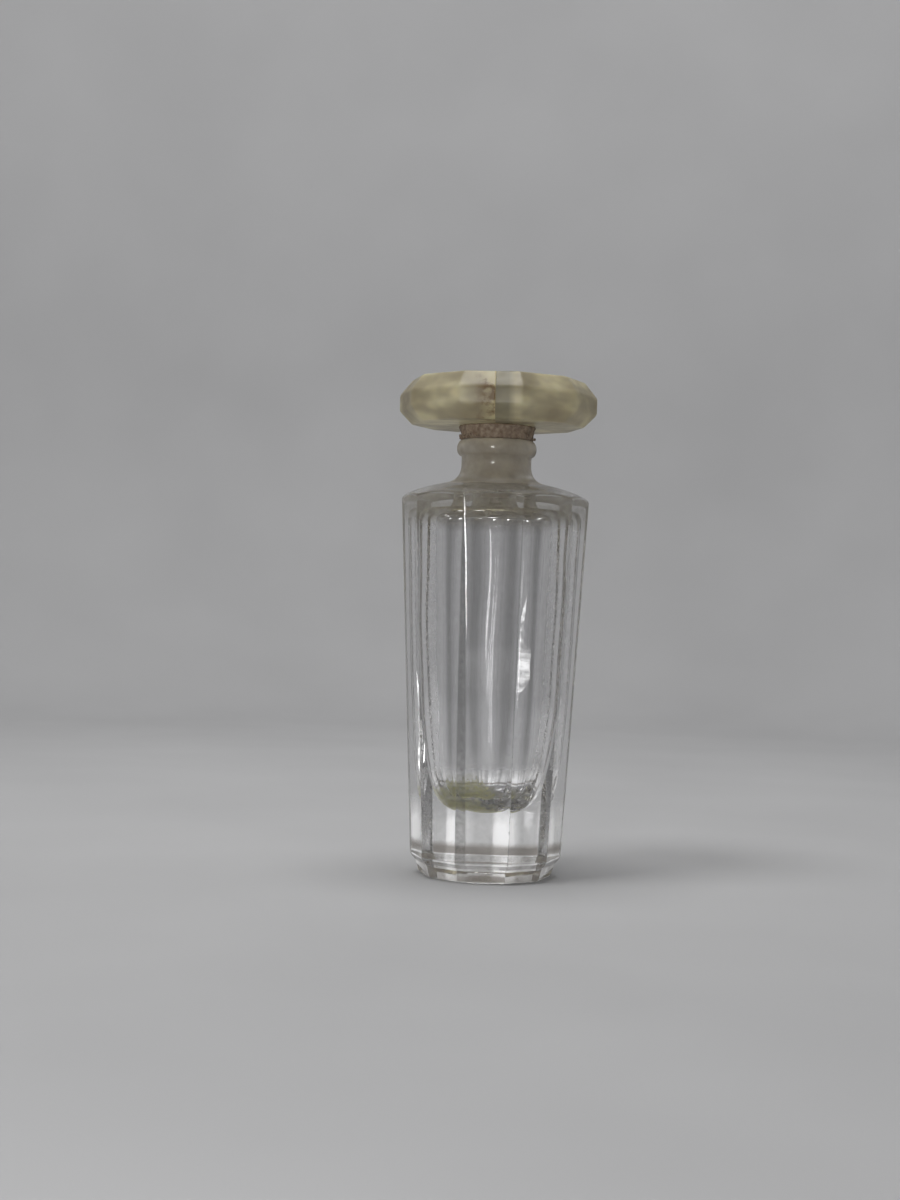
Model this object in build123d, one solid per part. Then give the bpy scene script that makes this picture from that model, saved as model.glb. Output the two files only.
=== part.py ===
from build123d import *
import math
import os

# An antique miniature perfume bottle: a ten-sided pressed-glass body that tapers to a smaller foot,
# a round neck with a beaded lip, and a wide ten-sided moulded stopper whose plug is let into the neck.
# Millimetres, +Z up the neck, origin at the centre of the foot's underside. One facet faces -Y.

SIDES = 10
FACET_ANGLE = 360 / SIDES
FRONT = -90.0                      # direction of the middle of the front facet, degrees about Z

# Glass body: levels above the table, and corner radii (centre to corner) at those levels.
FOOT_CORNER = 9.3
FOOT_TOP_Z = 1.9
FOOT_TOP_CORNER = 9.95
HEEL_Z = 2.7
HEEL_CORNER = 10.7
SHOULDER_Z = 53.2
SHOULDER_CORNER = 13.3
SHOULDER_MID_RADIUS = 11.8
SHOULDER_MID_Z = 54.05
SHOULDER_TOP_RADIUS = 7.0
SHOULDER_TOP_Z = 55.35

# The ground seam: a narrow flat along the corner left of the front facet, wider towards the foot.
SEAM_ANGLE = FRONT - FACET_ANGLE / 2
SEAM_AT_SHOULDER = 0.05
SEAM_AT_HEEL = 0.85
SEAM_AT_FOOT = 0.8

# Neck and lip.
NECK_RADIUS = 4.95
NECK_FILLET_TOP_Z = 57.8
LIP_BOTTOM_Z = 59.2
LIP_TOP_Z = 61.5
LIP_RADIUS = 5.6

# The hollow inside the glass: blown round, following the sides' taper, with a bowl-shaped bottom.
CAVITY_FLOOR_Z = 9.3
BOWL_TOP_Z = 23.0
BOWL_TOP_RADIUS = 7.7
BOWL_FLAT = 0.73                   # how far out the bowl's flat bottom and its turn reach, of its radius
BOWL_TURN = 0.857
BOWL_TURN_RISE = 3.2
CAVITY_BULGE_RADIUS = 8.4
CAVITY_BULGE_Z = 29.7
CAVITY_TOP_RADIUS = 8.6
CAVITY_CORNER = 1.8
CAVITY_TOP_Z = 51.8
THROAT_Z = 53.6
BORE_BOTTOM_RADIUS = 2.95
BORE_TOP_RADIUS = 3.10

# Stopper: ten-sided head, bevelled above and below a narrow band, turned a little off the body.
HEAD_BOTTOM_Z = 63.5
HEAD_BAND_BOTTOM_Z = 65.4
HEAD_BAND_TOP_Z = 67.7
HEAD_TOP_Z = 70.0
HEAD_FLAT_CORNER = 12.2
HEAD_BAND_CORNER = 14.1
HEAD_TURN = -3.4

# The peg: a ground plug below the head, and a slimmer tenon cemented into the head nearly to its top.
PLUG_CLEARANCE = 0.05
PLUG_END_Z = 54.6
PLUG_END_CHAMFER = 0.3
TENON_RADIUS = 2.1
TENON_TOP_Z = 69.3

# The seal ring between the lip and the head.
SEAL_GAP = 0.05
SEAL_BORE_RADIUS = 3.15
SEAL_BOTTOM_RADIUS = 5.15
SEAL_TOP_RADIUS = 5.45
SEAL_WAIST = 0.15

# The dried perfume: a crust on the cavity floor, thicker on the side that lay lowest.
CRUST_TOP_Z = 12.6
CRUST_THICKNESS = 0.45
CRUST_LEAN = 0.2


def direction(angle):
    """Unit vector in the table plane at an angle about Z, in degrees."""
    return Vector(math.cos(math.radians(angle)), math.sin(math.radians(angle)), 0)


def polygon_face(points):
    """Flat face through the points, in order."""
    return Face(Wire.make_polygon(points, close=True))


def glass_section(z, corner_radius, seam_width):
    """Ten-sided section with the seam corner cut off; seam_width is the cut along each neighbouring side."""
    centre = Vector(0, 0, z)
    corners = [centre + direction(SEAM_ANGLE + k * FACET_ANGLE) * corner_radius for k in range(SIDES)]
    toward_last = (corners[-1] - corners[0]).normalized() * seam_width
    toward_next = (corners[1] - corners[0]).normalized() * seam_width
    return polygon_face([corners[0] + toward_last, corners[0] + toward_next] + corners[1:])


def head_section(z, corner_radius):
    """Ten-sided section of the stopper's head."""
    centre = Vector(0, 0, z)
    first = FRONT - FACET_ANGLE / 2 + HEAD_TURN
    return polygon_face([centre + direction(first + k * FACET_ANGLE) * corner_radius for k in range(SIDES)])


def stack(sections):
    """One solid with flat sides through the sections, from the lowest to the highest."""
    tiers = [loft([below, above], ruled=True) for below, above in zip(sections, sections[1:])]
    solid = tiers[0]
    for tier in tiers[1:]:
        solid = solid + tier
    return solid


def turned(outline):
    """Solid turned about Z from a closed outline in the XZ plane."""
    return revolve(make_face(outline), Axis.Z)


def radius_along(z, z0, r0, z1, r1):
    """Radius at height z on a straight taper."""
    return r0 + (r1 - r0) * (z - z0) / (z1 - z0)


def shoulder_dome():
    """Round solid whose domed top cuts the body's ten sides off in shallow arches."""
    rim = SHOULDER_CORNER + 1.5
    rim_z = SHOULDER_Z - 1.2
    with BuildLine(Plane.XZ) as outline:
        Line((0, -1), (rim, -1))
        Line((rim, -1), (rim, rim_z))
        Spline(
            (rim, rim_z),
            (SHOULDER_CORNER, SHOULDER_Z),
            (SHOULDER_MID_RADIUS, SHOULDER_MID_Z),
            (SHOULDER_TOP_RADIUS, SHOULDER_TOP_Z),
        )
        Line((SHOULDER_TOP_RADIUS, SHOULDER_TOP_Z), (0, SHOULDER_TOP_Z))
        Line((0, SHOULDER_TOP_Z), (0, -1))
    return turned(outline.line)


def neck_blank():
    """Neck and beaded lip, solid, with a hollow fillet onto the shoulder."""
    root_z = SHOULDER_TOP_Z - 1.0
    bead_mid_z = (LIP_BOTTOM_Z + LIP_TOP_Z) / 2
    lip_edge = LIP_RADIUS - 0.5
    with BuildLine(Plane.XZ) as outline:
        Line((0, root_z), (SHOULDER_TOP_RADIUS, root_z))
        Line((SHOULDER_TOP_RADIUS, root_z), (SHOULDER_TOP_RADIUS, SHOULDER_TOP_Z))
        Bezier(
            (SHOULDER_TOP_RADIUS, SHOULDER_TOP_Z),
            (NECK_RADIUS + 0.1, SHOULDER_TOP_Z + 0.5),
            (NECK_RADIUS, NECK_FILLET_TOP_Z),
        )
        Line((NECK_RADIUS, NECK_FILLET_TOP_Z), (NECK_RADIUS, LIP_BOTTOM_Z))
        ThreePointArc((NECK_RADIUS, LIP_BOTTOM_Z), (LIP_RADIUS, bead_mid_z), (lip_edge, LIP_TOP_Z))
        Line((lip_edge, LIP_TOP_Z), (0, LIP_TOP_Z))
        Line((0, LIP_TOP_Z), (0, root_z))
    return turned(outline.line)


def bowl_points(radius, floor):
    """Control points of the cavity's bottom, from the axis out to the top of the bowl."""
    return [
        (0, floor),
        (BOWL_FLAT * radius, floor),
        (BOWL_TURN * radius, floor + BOWL_TURN_RISE),
        (radius, BOWL_TOP_Z),
    ]


def hollow():
    """Cavity, throat and tapered bore as one solid, open through the lip."""
    corner_z = CAVITY_TOP_Z - CAVITY_CORNER
    flat_radius = CAVITY_TOP_RADIUS - CAVITY_CORNER
    throat_radius = BORE_BOTTOM_RADIUS + 1.3
    above = LIP_TOP_Z + 1.0
    above_radius = radius_along(above, THROAT_Z, BORE_BOTTOM_RADIUS, LIP_TOP_Z, BORE_TOP_RADIUS)
    with BuildLine(Plane.XZ) as outline:
        Bezier(*bowl_points(BOWL_TOP_RADIUS, CAVITY_FLOOR_Z))
        Bezier(
            (BOWL_TOP_RADIUS, BOWL_TOP_Z),
            (CAVITY_BULGE_RADIUS, CAVITY_BULGE_Z),
            (CAVITY_TOP_RADIUS, corner_z),
        )
        Bezier((CAVITY_TOP_RADIUS, corner_z), (CAVITY_TOP_RADIUS, CAVITY_TOP_Z), (flat_radius, CAVITY_TOP_Z))
        Line((flat_radius, CAVITY_TOP_Z), (throat_radius, CAVITY_TOP_Z))
        Bezier(
            (throat_radius, CAVITY_TOP_Z),
            (BORE_BOTTOM_RADIUS, CAVITY_TOP_Z),
            (BORE_BOTTOM_RADIUS, THROAT_Z),
        )
        Line((BORE_BOTTOM_RADIUS, THROAT_Z), (above_radius, above))
        Line((above_radius, above), (0, above))
        Line((0, above), (0, CAVITY_FLOOR_Z))
    return turned(outline.line)


def glass_bottle():
    """The pressed-glass bottle: foot, heel bevel, tapered ten-sided body, shoulder, neck and lip."""
    blank_top = SHOULDER_TOP_Z + 1.0
    taper = (SHOULDER_CORNER - HEEL_CORNER) / (SHOULDER_Z - HEEL_Z)
    sides = stack(
        [
            glass_section(0, FOOT_CORNER, SEAM_AT_FOOT),
            glass_section(FOOT_TOP_Z, FOOT_TOP_CORNER, SEAM_AT_FOOT),
            glass_section(HEEL_Z, HEEL_CORNER, SEAM_AT_HEEL),
            glass_section(blank_top, HEEL_CORNER + taper * (blank_top - HEEL_Z), SEAM_AT_SHOULDER),
        ]
    )
    outside = (sides & shoulder_dome()) + neck_blank()
    return outside - hollow()


def perfume_crust():
    """Dried perfume on the cavity floor: the cavity's lowest part, less a smaller bowl set to one side."""
    inner_radius = BOWL_TOP_RADIUS - CRUST_THICKNESS
    inner_floor = CAVITY_FLOOR_Z + CRUST_THICKNESS
    with BuildLine(Plane.XZ) as outline:
        Bezier(*bowl_points(inner_radius, inner_floor))
        Line((inner_radius, BOWL_TOP_Z), (0, BOWL_TOP_Z))
        Line((0, BOWL_TOP_Z), (0, inner_floor))
    room = Pos(CRUST_LEAN, CRUST_LEAN / 2, 0) * turned(outline.line)
    height = CRUST_TOP_Z - CAVITY_FLOOR_Z
    layer = Pos(0, 0, CAVITY_FLOOR_Z + height / 2) * Cylinder(BOWL_TOP_RADIUS + 1, height)
    return (hollow() & layer) - room


def stopper_head():
    """Ten-sided head with a socket in its underside for the plug's tenon."""
    blank = stack(
        [
            head_section(HEAD_BOTTOM_Z, HEAD_FLAT_CORNER),
            head_section(HEAD_BAND_BOTTOM_Z, HEAD_BAND_CORNER),
            head_section(HEAD_BAND_TOP_Z, HEAD_BAND_CORNER),
            head_section(HEAD_TOP_Z, HEAD_FLAT_CORNER),
        ]
    )
    depth = TENON_TOP_Z - HEAD_BOTTOM_Z
    socket = Pos(0, 0, HEAD_BOTTOM_Z + depth / 2) * Cylinder(TENON_RADIUS, depth)
    return blank - socket


def stopper_plug():
    """Tapered plug that closes the bore, with a straight shank through the seal and a tenon above it."""
    top_radius = BORE_TOP_RADIUS - PLUG_CLEARANCE
    shank_z = LIP_TOP_Z - 0.3
    taper_z = PLUG_END_Z + PLUG_END_CHAMFER
    bore_there = radius_along(taper_z, THROAT_Z, BORE_BOTTOM_RADIUS, LIP_TOP_Z, BORE_TOP_RADIUS)
    low_radius = bore_there - PLUG_CLEARANCE
    bore_at_shank = radius_along(shank_z, THROAT_Z, BORE_BOTTOM_RADIUS, LIP_TOP_Z, BORE_TOP_RADIUS)
    shank_radius = min(top_radius, bore_at_shank - PLUG_CLEARANCE)
    with BuildLine(Plane.XZ) as outline:
        Polyline(
            (0, PLUG_END_Z),
            (low_radius - PLUG_END_CHAMFER, PLUG_END_Z),
            (low_radius, taper_z),
            (shank_radius, shank_z),
            (shank_radius, HEAD_BOTTOM_Z),
            (TENON_RADIUS, HEAD_BOTTOM_Z),
            (TENON_RADIUS, TENON_TOP_Z),
            (0, TENON_TOP_Z),
            close=True,
        )
    return turned(outline.line)


def seal_ring():
    """Brown seal ring on the lip, a little waisted, wider under the head."""
    bottom = LIP_TOP_Z + SEAL_GAP
    top = HEAD_BOTTOM_Z - SEAL_GAP
    waist_radius = (SEAL_BOTTOM_RADIUS + SEAL_TOP_RADIUS) / 2 - SEAL_WAIST
    with BuildLine(Plane.XZ) as outline:
        Line((SEAL_BORE_RADIUS, bottom), (SEAL_BOTTOM_RADIUS, bottom))
        ThreePointArc(
            (SEAL_BOTTOM_RADIUS, bottom),
            (waist_radius, (bottom + top) / 2),
            (SEAL_TOP_RADIUS, top),
        )
        Line((SEAL_TOP_RADIUS, top), (SEAL_BORE_RADIUS, top))
        Line((SEAL_BORE_RADIUS, top), (SEAL_BORE_RADIUS, bottom))
    return turned(outline.line)


PARTS = {
    "glass_bottle": glass_bottle,
    "perfume_crust": perfume_crust,
    "seal_ring": seal_ring,
    "stopper_head": stopper_head,
    "stopper_plug": stopper_plug,
}

os.makedirs("parts", exist_ok=True)
for name, make in PARTS.items():
    export_step(make(), f"parts/{name}.step")
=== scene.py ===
import math
import random

import bpy
from mathutils import Matrix, Vector, noise


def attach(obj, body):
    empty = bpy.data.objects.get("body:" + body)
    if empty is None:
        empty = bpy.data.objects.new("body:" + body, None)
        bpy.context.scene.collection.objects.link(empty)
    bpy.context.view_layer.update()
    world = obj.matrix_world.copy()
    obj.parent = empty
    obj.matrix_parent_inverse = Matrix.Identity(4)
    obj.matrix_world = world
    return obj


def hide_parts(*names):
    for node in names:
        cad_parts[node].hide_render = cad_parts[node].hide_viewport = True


# A miniature ten-sided perfume bottle, standing on a pale studio floor. Lengths are in millimetres until a
# mesh is made; directions are radians about +Z, and the front facet faces -Y.

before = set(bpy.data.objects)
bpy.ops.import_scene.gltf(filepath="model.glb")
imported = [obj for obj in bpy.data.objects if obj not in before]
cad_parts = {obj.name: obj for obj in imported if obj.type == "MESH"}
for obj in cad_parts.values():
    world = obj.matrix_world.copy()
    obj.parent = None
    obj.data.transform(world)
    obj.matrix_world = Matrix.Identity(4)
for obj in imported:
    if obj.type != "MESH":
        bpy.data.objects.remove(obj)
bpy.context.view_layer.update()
random.seed(11)

MM = 0.001
SIDES = 10
FACET_ANGLE = 2 * math.pi / SIDES
HALF_FACET = FACET_ANGLE / 2
FRONT = -math.pi / 2
FIRST_CORNER = FRONT - HALF_FACET

# Outside of the glass body: (height, corner radius), from the foot up.
FOOT = (0.0, 9.3)
FOOT_TOP = (1.9, 9.95)
HEEL = (2.7, 10.7)
SHOULDER = (53.2, 13.3)
FOOT_HOLLOW = 0.25
FOOT_HOLLOW_SHARES = (0.6, 0.85)  # how far out the hollow is flat and where it ends, as shares of the radius
EDGE_SOFTNESS = 0.28
SHOULDER_SOFTNESS = 0.35
CORNER_SHARPNESS = 420
SIDE_UNEVENNESS = 0.012
SIDE_ROWS = 40
DOME_ROWS = 14

# The ground seam, a flat along the corner left of the front facet: (height, depth cut off the corner).
SEAM_DEPTHS = ((0.0, 0.25), (2.7, 0.26), (30.0, 0.17), (45.0, 0.09), (53.2, -0.04))

# Domed shoulder as a curve through (radius, height), then neck, lip and bore.
DOME = ((13.3, 53.2), (11.3, 54.5), (7.0, 55.35))
NECK_RADIUS = 4.95
NECK_FILLET_TOP = 57.8
LIP_RADIUS = 5.6
LIP_BOTTOM = 59.2
LIP_TOP = 61.5
MOUTH_ROUND = 0.35
BORE_TOP_RADIUS = 3.10
BORE_BOTTOM_RADIUS = 2.95
THROAT = 53.6

# Cavity: a bowl below, walls that follow the sides' taper, a soft corner above.
CAVITY_FLOOR = 9.3
BOWL_TOP = (7.7, 23.0)
CAVITY_BULGE = (8.4, 29.7)
CAVITY_TOP_RADIUS = 8.6
CAVITY_CORNER = 1.8
CAVITY_TOP = 51.8
BOWL_CONTROLS = ((0.857, 3.2), (0.73, 0.0))  # (share of the bowl's radius, height above the floor)
FLUTE_DEPTH = 0.03
WALL_UNEVENNESS = 0.16
WALL_RIPPLE = 0.08

# Where finishes of the glass, and the painted shade at the top of the sides, end.
TOP_STAIN_AND_SHADE_DEPTH = 3.0
FLOOR_STAIN_HEIGHT = 6
WORN_EDGE_HALF_ANGLE = math.radians(0.4)

# Dried film: its clearance over the glass, where it is thickest, and the mean, lean and raggedness of its rim's
# height over the cavity floor and of its thickness.
FILM_GAP = 0.03
FILM_LEAN = math.radians(215)
FILM_RIM = (1.5, 1.2, 0.6)
FILM_THICKNESS = (0.10, 0.07, 0.06)
FILM_THINNEST = 0.02
FILM_ROWS = 40

# Stopper head: (height, corner radius), turned a little off the body.
HEAD = ((63.5, 12.2), (65.4, 14.1), (67.7, 14.1), (70.0, 12.2))
HEAD_TURN = math.radians(-3.4)
HEAD_SOFTNESS = 0.4
HEAD_SHARPNESS = 130
HEAD_DENTS = 0.05
CRACK_ANGLE = FRONT - math.radians(0.8)
CRACK_WIDTH = math.radians(0.3)
CRACK_DEPTH = 0.07

# Peg and seal ring.
PLUG_GAP = 0.05
PLUG_END = 54.6
TENON_RADIUS = 2.1
TENON_TOP = 69.3
RING_GAP = 0.03
RING_BORE = 3.15
RING_BOTTOM_RADIUS = 5.15
RING_TOP_RADIUS = 5.45
RING_WAIST = 0.12
RING_EDGE = 0.12
RING_LUMPS = 0.22
RING_GRAIN = 0.12
RING_ROWS = 14
CRUMB_COUNT = 34
CRUMB_SIZES = (0.07, 0.2)
CRUMB_SIDE = math.radians(205)


def lerp(a, b, t):
    return a + (b - a) * t


def along(table, x):
    """Value at x from a short rising table of (x, value) pairs."""
    for (x0, v0), (x1, v1) in zip(table, table[1:]):
        if x <= x1:
            return lerp(v0, v1, max(0.0, (x - x0) / (x1 - x0)))
    return table[-1][1]


def bezier(points, count):
    """count + 1 points along a Bezier curve in the (radius, height) plane."""
    out = []
    for i in range(count + 1):
        layer = [Vector(p) for p in points]
        while len(layer) > 1:
            layer = [lerp(a, b, i / count) for a, b in zip(layer, layer[1:])]
        out.append((layer[0].x, layer[0].y))
    return out


def softened(points, softness, count=4):
    """The same open outline with each inner turn replaced by a short curve."""
    out = [points[0]]
    for before, here, after in zip(points, points[1:], points[2:]):
        p, q, r = Vector(before), Vector(here), Vector(after)
        a = q + (p - q).normalized() * min(softness, (p - q).length * 0.45)
        b = q + (r - q).normalized() * min(softness, (r - q).length * 0.45)
        out += bezier((a, q, b), count)
    return out + [points[-1]]


def subdivided(points, count):
    """The same outline with each stretch cut into count."""
    out = []
    for (r0, z0), (r1, z1) in zip(points, points[1:]):
        out += [(lerp(r0, r1, i / count), lerp(z0, z1, i / count)) for i in range(count)]
    return out + [points[-1]]


def unevenness(angle, z, turns, rise):
    """Smooth noise from -1 to 1 over the surface: turns sets its scale round the axis, rise up it."""
    return noise.noise(Vector((math.cos(angle) * turns, math.sin(angle) * turns, z * rise)))


def faceted_radius(angle, planes, sharpness):
    """Distance from the axis to the nearest of the (facing, distance) planes, with softened corners."""
    reach = []
    for facing, distance in planes:
        toward = math.cos(angle - facing)
        if toward > 0.2:
            reach.append(distance / toward)
    nearest = min(reach)
    return nearest * sum((nearest / r) ** sharpness for r in reach) ** (-1 / sharpness)


def ten_sides(corner_radius, first_corner):
    """The ten planes of a regular plan."""
    apothem = corner_radius * math.cos(HALF_FACET)
    return [(first_corner + HALF_FACET + k * FACET_ANGLE, apothem) for k in range(SIDES)]


def column_angles(first_corner, seam_corner=False):
    """Directions of a mesh's columns: close together at the corners, where the plan turns."""
    steps = [0.0, 0.2, 0.4, 0.65, 1.0, 1.6, 2.6, 4.2, 6.5, 9.5, 13.0]
    seam_steps = [0.22 * i for i in range(26)] + [6.2, 7.2, 9.0, 11.5, 14.5]
    angles = set()
    for k in range(SIDES):
        for step in seam_steps if seam_corner and k == 0 else steps:
            for side in (-1, 1):
                angles.add(round(first_corner + k * FACET_ANGLE + side * math.radians(step), 7))
        angles.add(round(first_corner + k * FACET_ANGLE + HALF_FACET, 7))
    return sorted(angles)


def lathe(name, angles, column, zone=None):
    """Mesh object from one outline per direction, each of which starts and ends on the axis.

    zone gives a face's material slot from its direction, radius and height.
    """
    columns = [column(a) for a in angles]
    inner = len(columns[0]) - 2
    vertices = [(0.0, 0.0, columns[0][0][1] * MM)]
    for points, a in zip(columns, angles):
        for r, z in points[1:-1]:
            vertices.append((r * math.cos(a) * MM, r * math.sin(a) * MM, z * MM))
    vertices.append((0.0, 0.0, columns[0][-1][1] * MM))
    faces, slots = [], []
    for j in range(len(angles)):
        here, there = 1 + j * inner, 1 + ((j + 1) % len(angles)) * inner
        facing = lerp(angles[j], angles[(j + 1) % len(angles)], 0.5)
        faces.append((0, there, here))
        slots.append(0)
        for i in range(inner - 1):
            faces.append((here + i, there + i, there + i + 1, here + i + 1))
            middle = Vector(columns[j][i + 1]).lerp(columns[j][i + 2], 0.5)
            slots.append(zone(facing, middle.x, middle.y) if zone else 0)
        faces.append((here + inner - 1, there + inner - 1, len(vertices) - 1))
        slots.append(0)
    return mesh_object(name, vertices, faces, slots)


def ring_lathe(name, angles, column):
    """Mesh object from one closed outline per direction, none of which touches the axis."""
    columns = [column(a) for a in angles]
    rows = len(columns[0])
    vertices = []
    for points, a in zip(columns, angles):
        vertices += [(r * math.cos(a) * MM, r * math.sin(a) * MM, z * MM) for r, z in points]
    faces = []
    for j in range(len(angles)):
        here, there = j * rows, ((j + 1) % len(angles)) * rows
        for i in range(rows):
            k = (i + 1) % rows
            faces.append((here + i, there + i, there + k, here + k))
    return mesh_object(name, vertices, faces)


def mesh_object(name, vertices, faces, slots=None):
    mesh = bpy.data.meshes.new(name)
    mesh.from_pydata(vertices, [], faces)
    if slots:
        mesh.polygons.foreach_set("material_index", slots)
    mesh.shade_smooth()
    obj = bpy.data.objects.new(name, mesh)
    bpy.context.scene.collection.objects.link(obj)
    return obj


# ---------------------------------------------------------------- glass bottle


def body_planes(z, corner_radius):
    seam = (FIRST_CORNER, corner_radius - along(SEAM_DEPTHS, z))
    return ten_sides(corner_radius, FIRST_CORNER) + [seam]


def plan_radius(angle, level):
    z, corner_radius = level
    return faceted_radius(angle, body_planes(z, corner_radius), CORNER_SHARPNESS)


def side_radius(angle, z):
    """Radius of the tapered sides in a direction at a height."""
    corner = lerp(HEEL[1], SHOULDER[1], (z - HEEL[0]) / (SHOULDER[0] - HEEL[0]))
    return plan_radius(angle, (z, corner))


DOME_POINTS = sorted(bezier(DOME, 20))


def dome_height(radius):
    return along(DOME_POINTS, radius)


def shoulder_edge(angle):
    """Where a side meets the dome, in one direction, as (radius, height)."""
    low, high = SHOULDER[0] - 1.0, SHOULDER[0] + 2.0
    for _ in range(24):
        z = (low + high) / 2
        if dome_height(side_radius(angle, z)) > z:
            low = z
        else:
            high = z
    return side_radius(angle, z), z


def outside(angle):
    """Foot, heel, side and domed shoulder in one direction."""
    edge_r, edge_z = shoulder_edge(angle)
    foot_r = plan_radius(angle, FOOT)
    flat_share, rim_share = FOOT_HOLLOW_SHARES
    lower = [(0.0, FOOT_HOLLOW), (flat_share * foot_r, FOOT_HOLLOW), (rim_share * foot_r, 0.0)]
    for level in (FOOT, FOOT_TOP, HEEL):
        lower.append((plan_radius(angle, level), level[0]))
    lower = softened(lower + [(edge_r, edge_z)], EDGE_SOFTNESS)[:-1]
    start_z, end_z = lower[-1][1], edge_z - SHOULDER_SOFTNESS
    side = []
    for i in range(1, SIDE_ROWS + 1):
        z = lerp(start_z, end_z, i / SIDE_ROWS)
        side.append((side_radius(angle, z) + SIDE_UNEVENNESS * unevenness(angle, z, 3.0, 0.12), z))
    inner_r = edge_r - SHOULDER_SOFTNESS
    turn = bezier((side[-1], (edge_r, edge_z), (inner_r, dome_height(inner_r))), 6)[1:]
    dome = []
    for i in range(1, DOME_ROWS + 1):
        r = lerp(inner_r, DOME[-1][0], i / DOME_ROWS)
        dome.append((r, dome_height(r)))
    return lower + side + turn + dome


def neck(angle):
    """Fillet, neck, beaded lip and bore, down to the throat."""
    top_r, top_z = DOME[-1]
    fillet_end = (NECK_RADIUS, NECK_FILLET_TOP)
    fillet = bezier(((top_r, top_z), (NECK_RADIUS + 0.1, top_z + 0.5), fillet_end), 10)[1:]
    bead = bezier(
        (
            (NECK_RADIUS, LIP_BOTTOM),
            (LIP_RADIUS + 0.3, LIP_BOTTOM + 0.1),
            (LIP_RADIUS + 0.2, LIP_TOP - 0.1),
            (LIP_RADIUS - 0.7, LIP_TOP),
        ),
        14,
    )
    bead = [(r + 0.06 * unevenness(angle, z, 1.6, 0.4), z) for r, z in bead]
    mouth_end = (BORE_TOP_RADIUS, LIP_TOP - MOUTH_ROUND)
    mouth = bezier(((BORE_TOP_RADIUS + MOUTH_ROUND, LIP_TOP), (BORE_TOP_RADIUS, LIP_TOP), mouth_end), 4)
    bore = []
    for i in range(1, 12):
        t = i / 12
        bore.append((lerp(BORE_TOP_RADIUS, BORE_BOTTOM_RADIUS, t), lerp(LIP_TOP - MOUTH_ROUND, THROAT, t)))
    return fillet + bead + mouth + bore


def bowl(count):
    """The cavity's bottom, from the top of the bowl in to the axis."""
    controls = [(share * BOWL_TOP[0], CAVITY_FLOOR + rise) for share, rise in BOWL_CONTROLS]
    return bezier((BOWL_TOP, *controls, (0.0, CAVITY_FLOOR)), count)


def cavity_profile():
    """Throat, ceiling, wall and bowl of the cavity before it is made uneven."""
    throat_end = (BORE_BOTTOM_RADIUS + 1.3, CAVITY_TOP)
    throat = bezier(((BORE_BOTTOM_RADIUS, THROAT), (BORE_BOTTOM_RADIUS, CAVITY_TOP), throat_end), 8)
    corner_start = (CAVITY_TOP_RADIUS - CAVITY_CORNER, CAVITY_TOP)
    corner_end = (CAVITY_TOP_RADIUS, CAVITY_TOP - CAVITY_CORNER)
    corner = bezier((corner_start, (CAVITY_TOP_RADIUS, CAVITY_TOP), corner_end), 10)
    wall = bezier((corner_end, CAVITY_BULGE, BOWL_TOP), 30)[1:]
    return throat + corner + wall + bowl(36)[1:]


def wall_shift(angle, r, z):
    """How far the cavity wall stands out into the glass: faint flutes behind the facets, and unevenness."""
    fade = min(1.0, r / 4.0) * min(1.0, max(0.0, (CAVITY_TOP - z) / 6.0))
    flutes = FLUTE_DEPTH * (math.cos(SIDES * (angle - FRONT)) - 1)
    broad = WALL_UNEVENNESS * unevenness(angle, z, 1.1, 0.07)
    ripple = WALL_RIPPLE * unevenness(angle, z, 2.6, 0.11)
    return fade * (flutes + broad + ripple)


def shifted(profile, angle, extra=None):
    """A cavity outline moved out into the glass by wall_shift, less extra(r, z)."""
    out = [profile[0]]
    for (r0, z0), (r, z), (r1, z1) in zip(profile, profile[1:], profile[2:]):
        normal = Vector((z0 - z1, r1 - r0)).normalized()
        amount = wall_shift(angle, r, z) - (extra(r, z) if extra else 0.0)
        out.append((max(0.001, r + normal.x * amount), z + normal.y * amount))
    last_r, last_z = profile[-1]
    return out + [(last_r, last_z + (extra(last_r, last_z) if extra else 0.0))]


def glass_column(angle):
    return outside(angle) + neck(angle) + shifted(cavity_profile(), angle)


# Finishes of the glass, and a band of painted shade at the top of the sides, one material slot each.
CLEAR, GROUND_BORE, GROUND_SEAM, WORN_EDGE = range(4)
FLOOR_STAIN, CEILING_STAIN, SHOULDER_PAINTED_SHADE, HAZY_NECK, HAZY_DOME, HAZY_FOOT, DIRTY_BEVEL = range(4, 11)


def glass_zone(angle, r, z):
    """Which finish, or band of painted shade, a face of the glass has, from its direction, radius and height.
    """
    if r < BORE_TOP_RADIUS + 0.3 and z > THROAT - 0.3:
        return GROUND_BORE
    if r < CAVITY_TOP_RADIUS + 0.3 and CAVITY_FLOOR - 0.5 < z < THROAT:
        if z < CAVITY_FLOOR + FLOOR_STAIN_HEIGHT:
            return FLOOR_STAIN
        return CEILING_STAIN if z > CAVITY_TOP - TOP_STAIN_AND_SHADE_DEPTH else CLEAR
    if z > DOME[-1][1] - 0.3:
        return HAZY_NECK
    if z > SHOULDER[0] + 0.1:
        return HAZY_DOME
    if r < FOOT[1] * 0.9:
        return CLEAR
    if z < HEEL[0] - 0.1:
        return DIRTY_BEVEL if z > FOOT_TOP[0] + 0.1 else HAZY_FOOT
    # Painted shade: the top of the sides, below the shoulder, gets a grey-brown coat that darkens it.
    if z > CAVITY_TOP - TOP_STAIN_AND_SHADE_DEPTH:
        return SHOULDER_PAINTED_SHADE
    seam_half_width = along(SEAM_DEPTHS, z) * math.tan(math.pi / 2 - HALF_FACET)
    if abs(angle - FIRST_CORNER) * r < seam_half_width - 0.05:
        return GROUND_SEAM
    off_corner = (angle - FIRST_CORNER + HALF_FACET) % FACET_ANGLE - HALF_FACET
    return WORN_EDGE if abs(off_corner) < WORN_EDGE_HALF_ANGLE else CLEAR


# ---------------------------------------------------------------- dried perfume


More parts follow.
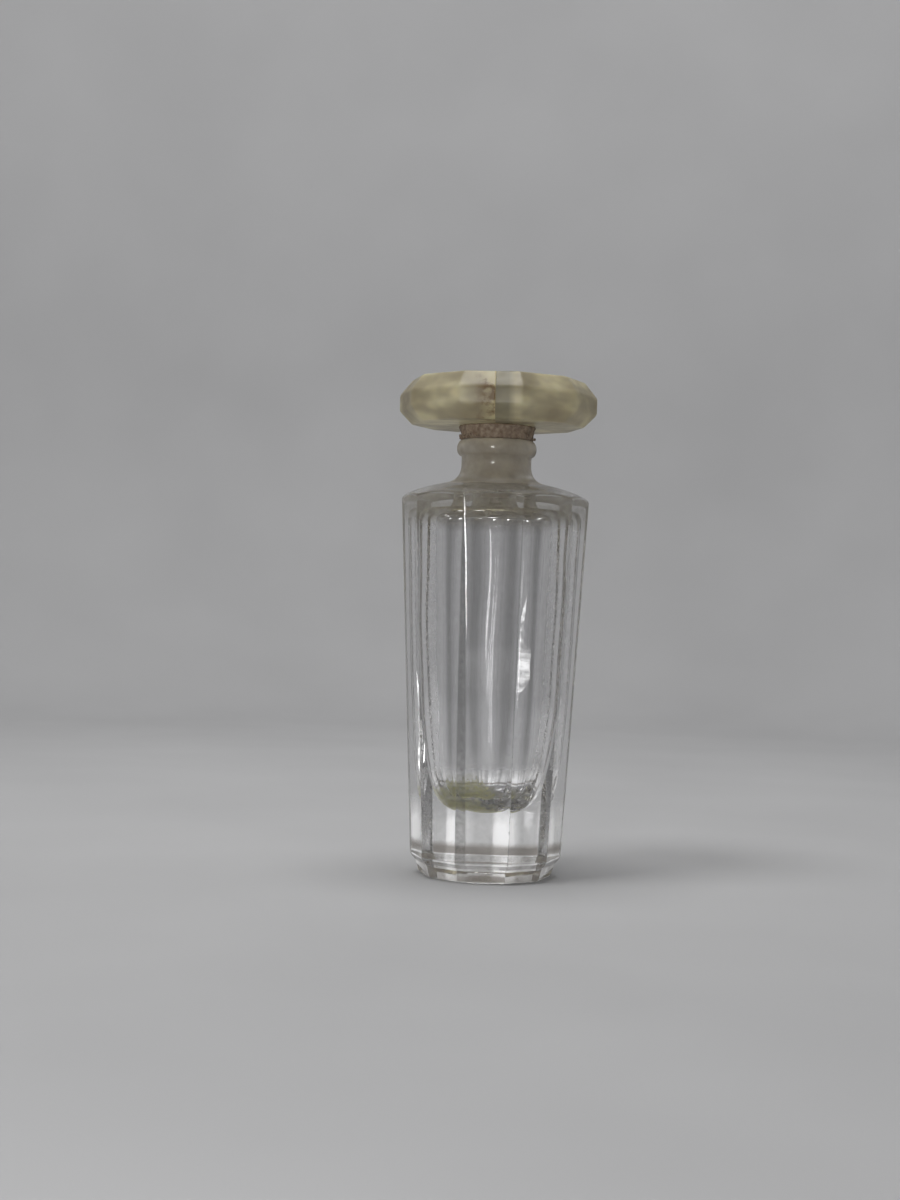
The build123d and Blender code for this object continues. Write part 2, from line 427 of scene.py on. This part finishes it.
def film_column(angle):
    """Closed outline of the dried film: out along the bowl from the axis, over its rim and back."""
    lean = math.cos(angle - FILM_LEAN)
    mean_rim, rim_lean, rim_raggedness = FILM_RIM
    rim = CAVITY_FLOOR + mean_rim + rim_lean * lean + rim_raggedness * unevenness(angle, 0, 2.4, 1)
    profile = [p for p in reversed(bowl(64)) if p[1] <= rim]
    resampled = []
    for i in range(FILM_ROWS + 1):
        x = i / FILM_ROWS * (len(profile) - 1)
        k = min(int(x), len(profile) - 2)
        a, b = profile[k], profile[k + 1]
        resampled.append((lerp(a[0], b[0], x - k), lerp(a[1], b[1], x - k)))

    def under(r, z):
        return FILM_GAP

    def over(r, z):
        mean, thickness_lean, raggedness = FILM_THICKNESS
        thickness = mean + thickness_lean * lean + raggedness * unevenness(angle, z, r * 0.4, 0.5)
        return FILM_GAP + 0.01 + max(FILM_THINNEST, thickness) * min(1.0, max(0.0, (rim - z) / 0.5))

    # shifted() expects the outline to run down to the axis.
    down = list(reversed(resampled))
    lower = list(reversed(shifted(down, angle, under)))
    upper = shifted(down, angle, over)
    return [(0.0, CAVITY_FLOOR + FILM_GAP)] + lower[1:] + upper[:-1] + [(0.0, CAVITY_FLOOR + 0.2)]


# ---------------------------------------------------------------- stopper


def head_column(angle):
    """Outline of the head in one direction, with a hairline crack down its front."""
    outline = [(0.0, HEAD[0][0])]
    for z, corner_radius in HEAD:
        planes = ten_sides(corner_radius, FIRST_CORNER + HEAD_TURN)
        outline.append((faceted_radius(angle, planes, HEAD_SHARPNESS), z))
    outline.append((0.0, HEAD[-1][0]))
    crack = CRACK_DEPTH * math.exp(-(((angle - CRACK_ANGLE) / CRACK_WIDTH) ** 2))
    dense = subdivided(softened(outline, HEAD_SOFTNESS, 6), 4)
    uneven = []
    for r, z in dense:
        dent = crack + HEAD_DENTS * max(0, unevenness(angle, z, 2.2, 0.5))
        uneven.append((r - dent * min(1, r / 9) ** 4, z))
    return uneven


def plug_column(angle):
    low = BORE_BOTTOM_RADIUS + 0.02 - PLUG_GAP
    top = BORE_TOP_RADIUS - PLUG_GAP
    outline = [
        (0.0, PLUG_END),
        (low, PLUG_END),
        (top, LIP_TOP - 0.3),
        (top, HEAD[0][0]),
        (TENON_RADIUS, HEAD[0][0]),
        (TENON_RADIUS, TENON_TOP),
        (0.0, TENON_TOP),
    ]
    return softened(outline, 0.25, 3)


def ring_column(angle):
    """Ragged outline of the seal ring in one direction."""
    bottom, top = LIP_TOP + RING_GAP, HEAD[0][0] - RING_GAP
    outer = []
    for i in range(RING_ROWS + 1):
        t = i / RING_ROWS
        waist = -RING_WAIST * math.sin(math.pi * t)
        lumps = RING_LUMPS * unevenness(angle, bottom + 2 * t, 4.0, 1.1)
        grain = RING_GRAIN * unevenness(angle, t, 11.0, 5.0)
        edge = RING_EDGE if i in (0, RING_ROWS) else 0.0
        r = lerp(RING_BOTTOM_RADIUS, RING_TOP_RADIUS, t) + waist + (lumps + grain) - edge
        outer.append((r, lerp(bottom, top, t)))
    return outer + [(RING_BORE, top), (RING_BORE, bottom)]


def crumb(centre, size):
    """Vertices and faces of one irregular crumb."""
    vertices, faces = [], []
    rows, count = 5, 8
    for i in range(rows):
        polar = math.pi * (i + 0.5) / rows
        for j in range(count):
            turn = 2 * math.pi * j / count
            sideways = math.sin(polar)
            unit = Vector((sideways * math.cos(turn), sideways * math.sin(turn), math.cos(polar)))
            reach = size * (1 + 0.55 * noise.noise(unit * 1.4 + Vector(centre)))
            vertices.append(tuple((Vector(centre) + unit * reach) * MM))
    for i in range(rows - 1):
        for j in range(count):
            a, b = i * count + j, i * count + (j + 1) % count
            faces.append((a, a + count, b + count, b))
    faces.append(tuple(range(count)))
    faces.append(tuple(reversed(range((rows - 1) * count, rows * count))))
    return vertices, faces


def crumbs():
    """Loose crumbs of the seal on the lip, most of them on the left of the front."""
    vertices, faces = [], []
    for _ in range(CRUMB_COUNT):
        if random.random() < 0.6:
            angle = random.gauss(CRUMB_SIDE, 0.5)
        else:
            angle = random.uniform(0, 2 * math.pi)
        size = random.uniform(*CRUMB_SIZES)
        reach = random.uniform(RING_BOTTOM_RADIUS - 0.1, RING_BOTTOM_RADIUS + 0.25)
        height = LIP_TOP + size * 0.8 + random.uniform(0, 0.5)
        centre = (reach * math.cos(angle), reach * math.sin(angle), height)
        more_vertices, more_faces = crumb(centre, size)
        base = len(vertices)
        vertices += more_vertices
        faces += [tuple(base + i for i in face) for face in more_faces]
    return mesh_object("seal_crumbs", vertices, faces)


# ---------------------------------------------------------------- materials

PALE_DUST = (0.62, 0.6, 0.56, 1)


def material(name):
    """New node material and its tree and Principled shader."""
    mat = bpy.data.materials.new(name)
    mat.use_nodes = True
    return mat, mat.node_tree, mat.node_tree.nodes["Principled BSDF"]


def node(tree, kind, links=None, **values):
    """Adds a node; links feeds its inputs from other nodes' sockets, values sets its properties."""
    new = tree.nodes.new(kind)
    for key, value in values.items():
        setattr(new, key, value)
    for key, source in (links or {}).items():
        if isinstance(source, bpy.types.NodeSocket):
            tree.links.new(source, new.inputs[key])
        else:
            new.inputs[key].default_value = source
    return new


def worked_out(tree, operation, first, second=None):
    """Result of a math node."""
    links = {0: first} if second is None else {0: first, 1: second}
    return node(tree, "ShaderNodeMath", links, operation=operation).outputs[0]


def place(tree, scale=(1, 1, 1)):
    """Object coordinates in millimetres, stretched by scale."""
    coordinates = node(tree, "ShaderNodeTexCoord").outputs["Object"]
    links = {"Vector": coordinates, "Scale": tuple(s / MM for s in scale)}
    return node(tree, "ShaderNodeMapping", links).outputs["Vector"]


def along_axis(tree, axis):
    """One object coordinate in millimetres."""
    return node(tree, "ShaderNodeSeparateXYZ", {"Vector": place(tree)}).outputs[axis]


def noise_at(tree, vector, scale, detail=3.0):
    made = node(tree, "ShaderNodeTexNoise", {"Vector": vector, "Scale": scale, "Detail": detail})
    return made.outputs["Fac"]


def ramp(tree, factor, *stops):
    """Colour ramp from (position, colour or grey) stops."""
    made = node(tree, "ShaderNodeValToRGB", {"Fac": factor})
    elements = made.color_ramp.elements
    while len(elements) < len(stops):
        elements.new(0.5)
    for element, (position, colour) in zip(elements, stops):
        element.position = position
        element.color = (colour, colour, colour, 1) if isinstance(colour, float) else (*colour, 1)
    return made.outputs["Color"]


def mapped(tree, value, low, high, to_low=0.0, to_high=1.0):
    links = {"Value": value, "From Min": low, "From Max": high, "To Min": to_low, "To Max": to_high}
    return node(tree, "ShaderNodeMapRange", links).outputs["Result"]


def bump(tree, height, strength, distance):
    made = node(tree, "ShaderNodeBump", {"Height": height, "Strength": strength, "Distance": distance * MM})
    return made.outputs["Normal"]


def clear_glass(name, haze=(0.01, 0.07), roughness=(0.0, 0.02), coat_colour=PALE_DUST, grain=(1.3, 8.0)):
    """Old clear glass with a thin patchy coat, of PALE_DUST unless coat_colour gives another colour.

    haze is the range of the share that the coat covers, and grain is the scale and detail of its patches.
    """
    mat, tree, bsdf = material(name)
    here = place(tree)
    streaks = place(tree, (1, 1, 0.25))
    tint = ramp(tree, noise_at(tree, here, 0.12), (0.3, (0.945, 0.945, 0.955)), (0.7, (0.985, 0.985, 0.99)))
    tree.links.new(tint, bsdf.inputs["Base Color"])
    rough = mapped(tree, noise_at(tree, streaks, 0.5), 0.5, 0.75, *roughness)
    tree.links.new(rough, bsdf.inputs["Roughness"])
    tree.links.new(bump(tree, noise_at(tree, streaks, 0.25, 1.0), 0.04, 0.03), bsdf.inputs["Normal"])
    bsdf.inputs["Transmission Weight"].default_value = 1.0
    bsdf.inputs["IOR"].default_value = 1.52
    amount = mapped(tree, noise_at(tree, here, *grain), 0.38, 0.7, *haze)
    coated(mat, amount, coat_colour)
    return mat


def coated(mat, amount, colour):
    """Covers a material's shader with a dull film of a colour; amount is the share covered."""
    tree = mat.node_tree
    output = tree.nodes["Material Output"]
    under = output.inputs["Surface"].links[0].from_socket
    diffuse = node(tree, "ShaderNodeBsdfDiffuse", {"Color": colour})
    through = node(tree, "ShaderNodeBsdfTranslucent", {"Color": colour})
    film = node(tree, "ShaderNodeMixShader", {0: 0.5, 1: diffuse.outputs[0], 2: through.outputs[0]})
    mix = node(tree, "ShaderNodeMixShader", {0: amount, 1: under, 2: film.outputs[0]})
    tree.links.new(mix.outputs["Shader"], output.inputs["Surface"])


def floor_stain():
    """Glass under the dried perfume: yellow-green, thickest low down and on the left."""
    mat = clear_glass("stained_floor_glass")
    tree = mat.node_tree
    here = place(tree)
    leaning = mapped(tree, along_axis(tree, "X"), -6.0, 4.0, 2.8, -1.1)
    ragged = mapped(tree, noise_at(tree, here, 0.6, 5.0), 0.3, 0.7, -0.8, 0.8)
    rim = worked_out(tree, "ADD", leaning, ragged)
    height = worked_out(tree, "SUBTRACT", along_axis(tree, "Z"), CAVITY_FLOOR + 0.9)
    amount = mapped(tree, worked_out(tree, "SUBTRACT", rim, height), -0.4, 1.0, 0.0, 0.5)
    patch = noise_at(tree, here, 0.9, 4.0)
    coated(mat, amount, ramp(tree, patch, (0.35, (0.70, 0.68, 0.24)), (0.65, (0.95, 0.93, 0.50))))
    return mat


def top_stain_and_shade(name, strongest):
    """Glass darkened grey-brown near the top, fading down to clear: a stain round the top of the cavity, and
    painted shade on the top of the sides.
    """
    mat = clear_glass(name)
    tree = mat.node_tree
    here = place(tree)
    height = mapped(tree, along_axis(tree, "Z"), CAVITY_TOP - 2.8, CAVITY_TOP, 0.0, strongest)
    patch = mapped(tree, noise_at(tree, here, 0.5, 4.0), 0.3, 0.7, 0.45, 1.0)
    colour = ramp(tree, noise_at(tree, here, 1.1), (0.3, (0.34, 0.30, 0.22)), (0.7, (0.52, 0.49, 0.40)))
    coated(mat, worked_out(tree, "MULTIPLY", height, patch), colour)
    return mat


def ground_glass(name, dark, pale, transmission):
    """Frosted glass, stained between two colours."""
    mat, tree, bsdf = material(name)
    here = place(tree)
    stain = ramp(tree, noise_at(tree, here, 0.45, 5.0), (0.3, dark), (0.7, pale))
    tree.links.new(stain, bsdf.inputs["Base Color"])
    tree.links.new(mapped(tree, noise_at(tree, here, 2.0), 0.3, 0.7, 0.35, 0.6), bsdf.inputs["Roughness"])
    tree.links.new(bump(tree, noise_at(tree, here, 9.0, 4.0), 0.5, 0.03), bsdf.inputs["Normal"])
    bsdf.inputs["Transmission Weight"].default_value = transmission
    bsdf.inputs["IOR"].default_value = 1.5
    return mat


def yellowed_resin():
    """Cloudy yellowed moulding. On its front it has painted light, a paler patch left of the crack with brown
    spots there, and painted shade, a darker patch right of it.
    """
    mat, tree, bsdf = material("yellowed_resin")
    here = place(tree)
    clouds = noise_at(tree, place(tree, (1, 1, 1.8)), 0.17, 2.0)
    yellows = (0.31, (0.37, 0.315, 0.21)), (0.5, (0.56, 0.50, 0.335)), (0.67, (0.92, 0.85, 0.57))
    cloudy = ramp(tree, clouds, *yellows)
    across = along_axis(tree, "X")
    front = mapped(tree, along_axis(tree, "Y"), -3.0, -9.0)
    right_of_crack = mapped(tree, across, -0.2, -0.1)
    left_of_crack = worked_out(tree, "SUBTRACT", 1.0, right_of_crack)

    def on_front(start, side):
        """A share kept to one side of the crack, on the front."""
        return worked_out(tree, "MULTIPLY", worked_out(tree, "MULTIPLY", start, side), front)

    # Painted light: a paler patch on the front, just left of the crack.
    pale = on_front(mapped(tree, across, -2.4, -0.25), left_of_crack)
    # Painted shade: a darker patch on the front, just right of the crack.
    dull = on_front(mapped(tree, across, 1.6, 2.6, 1.0, 0.0), right_of_crack)
    spots = mapped(tree, noise_at(tree, here, 0.55, 6.0), 0.47, 0.59)
    near_crack = mapped(tree, across, -3.2, -1.6)
    spots = on_front(worked_out(tree, "MULTIPLY", spots, near_crack), left_of_crack)
    # The painted light turns the colour pale yellow, the painted shade turns it dark olive, and the spots turn
    # it brown.
    toned = mix_colour(tree, pale, cloudy, (0.88, 0.79, 0.47, 1), 0.75)
    toned = mix_colour(tree, dull, toned, (0.19, 0.18, 0.125, 1), 0.62)
    toned = mix_colour(tree, spots, toned, (0.20, 0.10, 0.035, 1), 0.85)
    tree.links.new(toned, bsdf.inputs["Base Color"])
    rough = mapped(tree, noise_at(tree, here, 0.9, 4.0), 0.3, 0.75, 0.34, 0.52)
    tree.links.new(rough, bsdf.inputs["Roughness"])
    tree.links.new(bump(tree, noise_at(tree, here, 1.2, 4.0), 0.12, 0.06), bsdf.inputs["Normal"])
    bsdf.inputs["Transmission Weight"].default_value = 0.6
    bsdf.inputs["Specular IOR Level"].default_value = 0.35
    bsdf.inputs["Subsurface Weight"].default_value = 0.35
    bsdf.inputs["Subsurface Radius"].default_value = (1.0, 0.8, 0.4)
    bsdf.inputs["Subsurface Scale"].default_value = 0.002
    bsdf.inputs["IOR"].default_value = 1.5
    return mat


def mix_colour(tree, factor, base, colour, amount):
    """base turned towards colour by factor times amount."""
    share = mapped(tree, factor, 0.0, 1.0, 0.0, amount)
    made = node(tree, "ShaderNodeMix", {0: share, 6: base, 7: colour}, data_type="RGBA")
    return made.outputs[2]


def crumbling_seal():
    """Dry brown crumbling cork."""
    mat, tree, bsdf = material("crumbling_seal")
    here = place(tree)
    grain = noise_at(tree, here, 1.6, 9.0)
    browns = (0.33, (0.145, 0.10, 0.07)), (0.5, (0.215, 0.16, 0.115)), (0.68, (0.29, 0.235, 0.175))
    colour = ramp(tree, grain, *browns)
    tree.links.new(colour, bsdf.inputs["Base Color"])
    tree.links.new(mapped(tree, grain, 0.3, 0.7, 0.95, 0.7), bsdf.inputs["Roughness"])
    tree.links.new(bump(tree, noise_at(tree, here, 3.5, 8.0), 0.6, 0.15), bsdf.inputs["Normal"])
    return mat


def dried_perfume():
    """Yellow-green film, patchy and part see-through, and thinner to the right."""
    mat, tree, bsdf = material("dried_perfume")
    here = place(tree)
    patch = noise_at(tree, here, 0.7, 6.0)
    yellows = (0.35, (0.80, 0.78, 0.32)), (0.6, (0.96, 0.94, 0.52)), (0.78, (0.76, 0.62, 0.30))
    tree.links.new(ramp(tree, patch, *yellows), bsdf.inputs["Base Color"])
    tree.links.new(mapped(tree, patch, 0.3, 0.7, 0.25, 0.7), bsdf.inputs["Roughness"])
    cover = mapped(tree, noise_at(tree, here, 1.1, 5.0), 0.38, 0.62, 0.08, 0.6)
    leaning = mapped(tree, along_axis(tree, "X"), -2.5, 2.5, 0.9, 0.28)
    tree.links.new(worked_out(tree, "MULTIPLY", cover, leaning), bsdf.inputs["Alpha"])
    tree.links.new(bump(tree, noise_at(tree, here, 2.5, 6.0), 0.3, 0.06), bsdf.inputs["Normal"])
    bsdf.inputs["IOR"].default_value = 1.2
    return mat


# ---------------------------------------------------------------- pieces


def piece(obj, body, material_slot, materials, *nodes):
    """Gives a piece its materials and body, and hides the CAD nodes it stands for; material_slot is not used.
    """
    for mat in materials:
        obj.data.materials.append(mat)
    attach(obj, body)
    if nodes:
        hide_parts(*nodes)


def even_angles(count):
    return [2 * math.pi * i / count for i in range(count)]


bore_frost = ground_glass("bore_frost", (0.42, 0.36, 0.28), (0.62, 0.56, 0.47), 0.75)
peg_frost = ground_glass("peg_frost", (0.42, 0.36, 0.26), (0.66, 0.60, 0.49), 0.6)
seal_material = crumbling_seal()
crack_angles = {CRACK_ANGLE + math.radians(0.12 * i) for i in range(-8, 9)}
head_angles = sorted(crack_angles.union(column_angles(FIRST_CORNER + HEAD_TURN)))

SEAM_DARK_GREY = (0.24, 0.24, 0.23, 1)
WORN_WHITE = (0.85, 0.85, 0.84, 1)
NECK_HAZE = (0.73, 0.67, 0.56, 1)
DOME_HAZE = (0.52, 0.495, 0.44, 1)
FOOT_HAZE = (0.50, 0.455, 0.39, 1)
BEVEL_DIRT = (0.30, 0.26, 0.21, 1)

glass_finishes_and_shade = {
    CLEAR: clear_glass("clear_glass"),
    GROUND_BORE: bore_frost,
    # The ground seam gets a dark grey coat that makes it darker than the glass around it.
    GROUND_SEAM: clear_glass("ground_seam_glass", (0.22, 0.42), (0.06, 0.18), SEAM_DARK_GREY),
    WORN_EDGE: clear_glass("worn_edge_glass", (0.14, 0.42), (0.04, 0.16), WORN_WHITE),
    FLOOR_STAIN: floor_stain(),
    CEILING_STAIN: top_stain_and_shade("stained_ceiling_glass", 0.72),
    # Painted shade at the top of the sides: a grey-brown coat that fades out downwards.
    SHOULDER_PAINTED_SHADE: top_stain_and_shade("shoulder_painted_shade_glass", 0.42),
    HAZY_NECK: clear_glass("hazy_neck_glass", (0.42, 0.66), (0.12, 0.3), NECK_HAZE, (0.35, 3.0)),
    HAZY_FOOT: clear_glass("hazy_foot_glass", (0.12, 0.46), (0.02, 0.12), FOOT_HAZE, (0.5, 5.0)),
    DIRTY_BEVEL: clear_glass("dirty_bevel_glass", (0.22, 0.62), (0.02, 0.12), BEVEL_DIRT, (0.6, 5.0)),
    HAZY_DOME: clear_glass("hazy_dome_glass", (0.24, 0.42), (0.08, 0.2), DOME_HAZE, (0.35, 3.0)),
}
glass = lathe("bottle_glass", column_angles(FIRST_CORNER, True), glass_column, glass_zone)
finishes_and_shade_in_order = [glass_finishes_and_shade[zone] for zone in sorted(glass_finishes_and_shade)]
piece(glass, "bottle", "clear_glass", finishes_and_shade_in_order, "glass_bottle")
film = lathe("perfume_film", even_angles(120), film_column)
piece(film, "bottle", "dried_perfume", [dried_perfume()], "perfume_crust")
moulding = lathe("stopper_moulding", head_angles, head_column)
piece(moulding, "stopper", "yellowed_resin", [yellowed_resin()], "stopper_head")
peg = lathe("stopper_peg", even_angles(72), plug_column)
piece(peg, "stopper", "ground_glass", [peg_frost], "stopper_plug")
seal = ring_lathe("seal_band", even_angles(220), ring_column)
piece(seal, "seal", "brown_cork", [seal_material], "seal_ring")
piece(crumbs(), "seal", "brown_cork", [seal_material])


# ---------------------------------------------------------------- studio

# Stage pieces, lights and camera are placed in metres. The floor lies a hair below the foot, so that the two
# surfaces don't coincide. Round stage pieces have ROUND_COUNT sides.
ROUND_COUNT = 96
STAGE_RADIUS = 0.42
STAGE_TOP = 0.5
STAGE_COVE = 0.12
FLOOR = -0.00002

# Dark cards on a cone close round the glass, and where they fade in, in millimetres above the floor.
CARD_COUNT = 6
CARD_ENDS = ((0.0117, 0.0032), (0.0144, 0.0532))
CARD_FADE = (7.0, 16.0)

# White reflector round the foot. It fades out from a height in millimetres up to its top, and has a brown line.
REFLECTOR_RADIUS = 0.0165
REFLECTOR_BOTTOM = 0.0003
REFLECTOR_TOP = 0.0115
REFLECTOR_FADE = 6.5
REFLECTOR_LINE = 2.8

# Distance from the axis of the narrow bright strips that the side facets mirror.
GLINT_RADIUS = 0.12

# Camera: focal length and sensor width in millimetres, place in metres, turn to the side and tilt of the frame.
CAMERA_LENS = 54.33
CAMERA_SENSOR = 36
CAMERA_PLACE = (0.004522, -0.25704, 0.03874)
CAMERA_YAW = 0.041
CAMERA_ROLL = 0.029


def stage_material():
    mat, tree, bsdf = material("stage_paper")
    fleck = noise_at(tree, place(tree), 0.02, 2.0)
    paper = ramp(tree, fleck, (0.3, (0.50, 0.50, 0.505)), (0.7, (0.53, 0.53, 0.535)))
    tree.links.new(paper, bsdf.inputs["Base Color"])
    bsdf.inputs["Roughness"].default_value = 0.95
    bsdf.inputs["Specular IOR Level"].default_value = 0.1
    return mat


def stage():
    """Round floor that curves up into a wall all round."""
    profile = [(STAGE_RADIUS - STAGE_COVE, FLOOR)]
    for i in range(1, 17):
        turn = i / 16 * math.pi / 2
        r = STAGE_RADIUS - STAGE_COVE * (1 - math.sin(turn))
        profile.append((r, FLOOR + STAGE_COVE * (1 - math.cos(turn))))
    profile.append((STAGE_RADIUS, STAGE_TOP))
    vertices, faces = [(0, 0, FLOOR)], []
    for r, z in profile:
        vertices += [(r * math.cos(a), r * math.sin(a), z) for a in even_angles(ROUND_COUNT)]
    for j in range(ROUND_COUNT):
        here, there = 1 + j, 1 + (j + 1) % ROUND_COUNT
        faces.append((0, here, there))
        for _ in profile[1:]:
            faces.append((here, here + ROUND_COUNT, there + ROUND_COUNT, there))
            here, there = here + ROUND_COUNT, there + ROUND_COUNT
    obj = mesh_object("stage_sweep", vertices, faces)
    obj.data.materials.append(stage_material())


def band(name, ends, mat):
    """Band all round the bottle between two (radius, height) ends."""
    vertices, faces = [], []
    for a in even_angles(ROUND_COUNT):
        vertices += [(radius * math.cos(a), radius * math.sin(a), z) for radius, z in ends]
    for j in range(ROUND_COUNT):
        here, there = 2 * j, 2 * ((j + 1) % ROUND_COUNT)
        faces.append((here, there, there + 1, here + 1))
    only_in_glass(mesh_object(name, vertices, faces), mat)


def only_in_glass(obj, mat):
    """Makes obj a studio card that only shows by reflection and through the glass."""
    obj.data.materials.append(mat)
    obj.visible_camera = False
    obj.visible_diffuse = False
    obj.visible_shadow = False


def turn_about_axis(tree, repeats, first):
    """0 to 1 and back as the direction turns through each of the repeats; first is where one starts."""
    coordinates = node(tree, "ShaderNodeTexCoord").outputs["Object"]
    links = {"Vector": coordinates, "Rotation": (0, 0, -first)}
    turned = node(tree, "ShaderNodeMapping", links).outputs["Vector"]
    turn = node(tree, "ShaderNodeTexGradient", {"Vector": turned}, gradient_type="RADIAL").outputs["Fac"]
    return worked_out(tree, "PINGPONG", worked_out(tree, "MULTIPLY", turn, 2.0 * repeats), 1.0)


def distance_from(tree, value, middle):
    return worked_out(tree, "ABSOLUTE", worked_out(tree, "SUBTRACT", value, middle))


def card_material():
    """Dark upright soft-edged cards, evenly spaced but none on the left and right, fading out low down."""
    mat, tree, bsdf = material("card_dark")
    fleck = noise_at(tree, place(tree), 0.02, 2.0)
    tree.links.new(ramp(tree, fleck, (0.3, 0.03), (0.7, 0.05)), bsdf.inputs["Base Color"])
    swing = turn_about_axis(tree, CARD_COUNT, FRONT + math.pi / CARD_COUNT)
    dark = mapped(tree, swing, 0.12, 0.7, 0.5, 0.0)
    off_side = distance_from(tree, turn_about_axis(tree, 1, FRONT), 0.5)
    dark = worked_out(tree, "MULTIPLY", dark, mapped(tree, off_side, 0.12, 0.3))
    fade = mapped(tree, along_axis(tree, "Z"), *CARD_FADE)
    tree.links.new(worked_out(tree, "MULTIPLY", dark, fade), bsdf.inputs["Alpha"])
    return mat


def glint_material(name, strength):
    """Bright uneven strip."""
    mat, tree, bsdf = material(name)
    grain = noise_at(tree, place(tree), 0.7, 6.0)
    tree.links.new(ramp(tree, grain, (0.3, 0.6), (0.6, 0.9)), bsdf.inputs["Base Color"])
    glow = mapped(tree, grain, 0.40, 0.58, 0.08 * strength, strength)
    tree.links.new(glow, bsdf.inputs["Emission Strength"])
    bsdf.inputs["Emission Color"].default_value = (1.0, 1.0, 1.0, 1)
    return mat


def glint(name, azimuth, width, bottom, top, mat):
    """Narrow ragged upright strip for a side facet to mirror; azimuth is degrees to the right of the front."""
    middle = FRONT + math.radians(azimuth)
    rows = 30
    vertices, faces = [], []
    for i in range(rows + 1):
        t = i / rows
        half = 0.5 * width * (1 - 0.6 * t) * min(1.0, 0.15 + 8 * t, 0.1 + 5 * (1 - t))
        for side in (-1, 1):
            ragged = 1 + 0.5 * noise.noise(Vector((9 * t, side, azimuth)))
            a = middle + side * half * ragged / GLINT_RADIUS
            vertices.append((GLINT_RADIUS * math.cos(a), GLINT_RADIUS * math.sin(a), lerp(bottom, top, t)))
    for i in range(rows):
        faces.append((2 * i, 2 * i + 1, 2 * i + 3, 2 * i + 2))
    obj = mesh_object(name, vertices, faces)
    only_in_glass(obj, mat)
    obj.visible_transmission = False


def reflector_material():
    """White striped reflector that fills the foot with light: a brown line low down, fading out at its top."""
    mat, tree, bsdf = material("card_white")
    stripes = noise_at(tree, place(tree, (1, 1, 0.01)), 0.35, 2.0)
    height = along_axis(tree, "Z")
    line = mapped(tree, distance_from(tree, height, REFLECTOR_LINE), 0.35, 1.15, 1.0, 0.0)
    white = ramp(tree, stripes, (0.42, 0.72), (0.6, 0.95))
    tree.links.new(mix_colour(tree, line, white, (0.33, 0.285, 0.24, 1), 0.8), bsdf.inputs["Base Color"])
    glow = mapped(tree, stripes, 0.45, 0.62, 0.14, 0.46)
    beside_line = mapped(tree, line, 0.0, 1.0, 1.0, 0.2)
    tree.links.new(worked_out(tree, "MULTIPLY", glow, beside_line), bsdf.inputs["Emission Strength"])
    bsdf.inputs["Emission Color"].default_value = (1.0, 1.0, 1.0, 1)
    fade = mapped(tree, height, REFLECTOR_FADE, REFLECTOR_TOP / MM, 1.0, 0.0)
    tree.links.new(fade, bsdf.inputs["Alpha"])
    return mat


def light(name, location, target, size, energy, height=None):
    """Soft light aimed at a target: a disk, or an upright ellipse where a height is given."""
    data = bpy.data.lights.new(name, "AREA")
    data.shape = "ELLIPSE" if height else "DISK"
    data.size = size
    if height:
        data.size_y = height
    data.energy = energy
    obj = bpy.data.objects.new(name, data)
    obj.visible_camera = False
    obj.location = location
    obj.rotation_mode = "QUATERNION"
    obj.rotation_quaternion = (Vector(target) - Vector(location)).to_track_quat("-Z", "Y")
    bpy.context.scene.collection.objects.link(obj)


def camera():
    """Camera at the photograph's viewing angle: level, turned a little aside, its frame tilted a little."""
    data = bpy.data.cameras.new("camera")
    data.lens = CAMERA_LENS
    data.sensor_width = CAMERA_SENSOR
    right = Vector((math.cos(CAMERA_YAW), math.sin(CAMERA_YAW), 0))
    forward = Vector((-math.sin(CAMERA_YAW), math.cos(CAMERA_YAW), 0))
    up = right.cross(forward)
    rolled_right = math.cos(CAMERA_ROLL) * right + math.sin(CAMERA_ROLL) * up
    rolled_up = math.cos(CAMERA_ROLL) * up - math.sin(CAMERA_ROLL) * right
    matrix = Matrix((rolled_right, rolled_up, -forward)).transposed().to_4x4()
    matrix.translation = Vector(CAMERA_PLACE)
    obj = bpy.data.objects.new("camera", data)
    obj.matrix_world = matrix
    bpy.context.scene.collection.objects.link(obj)
    bpy.context.scene.camera = obj


def studio():
    stage()
    band("stage_cards", CARD_ENDS, card_material())
    reflector_ends = ((REFLECTOR_RADIUS, REFLECTOR_BOTTOM), (REFLECTOR_RADIUS, REFLECTOR_TOP))
    band("stage_reflector", reflector_ends, reflector_material())
    faint = glint_material("card_bright_edge", 7.0)
    strong = glint_material("card_bright_facet", 27.0)
    glint("stage_glint_right", 67.75, 0.0019, 0.012, 0.031, strong)
    glint("stage_glint_left_edge", -142.0, 0.0011, 0.0005, 0.021, faint)
    glint("stage_glint_right_edge", 142.0, 0.0012, 0.019, 0.027, faint)
    light("flash", (-0.050, -0.272, 0.034), (0, 0, 0.035), 0.045, 0.22, 0.066)
    light("hair", (-0.008, 0.33, 0.226), (0, 0, 0.05), 0.022, 0.025)
    light("key", (-0.16, -0.12, 0.40), (0, 0, 0.03), 0.14, 0.5)
    light("back_wash", (0.0, 0.02, 0.46), (0, 0.30, 0.05), 0.22, 0.95)
    camera()
    scene = bpy.context.scene
    world = bpy.data.worlds.new("studio")
    world.use_nodes = True
    world.node_tree.nodes["Background"].inputs["Color"].default_value = (0.12, 0.12, 0.12, 1)
    scene.world = world
    scene.view_settings.view_transform = "Standard"
    scene.cycles.max_bounces = 48
    scene.cycles.transmission_bounces = 24
    scene.cycles.glossy_bounces = 32
    scene.cycles.transparent_max_bounces = 32
    scene.cycles.use_denoising = True


studio()
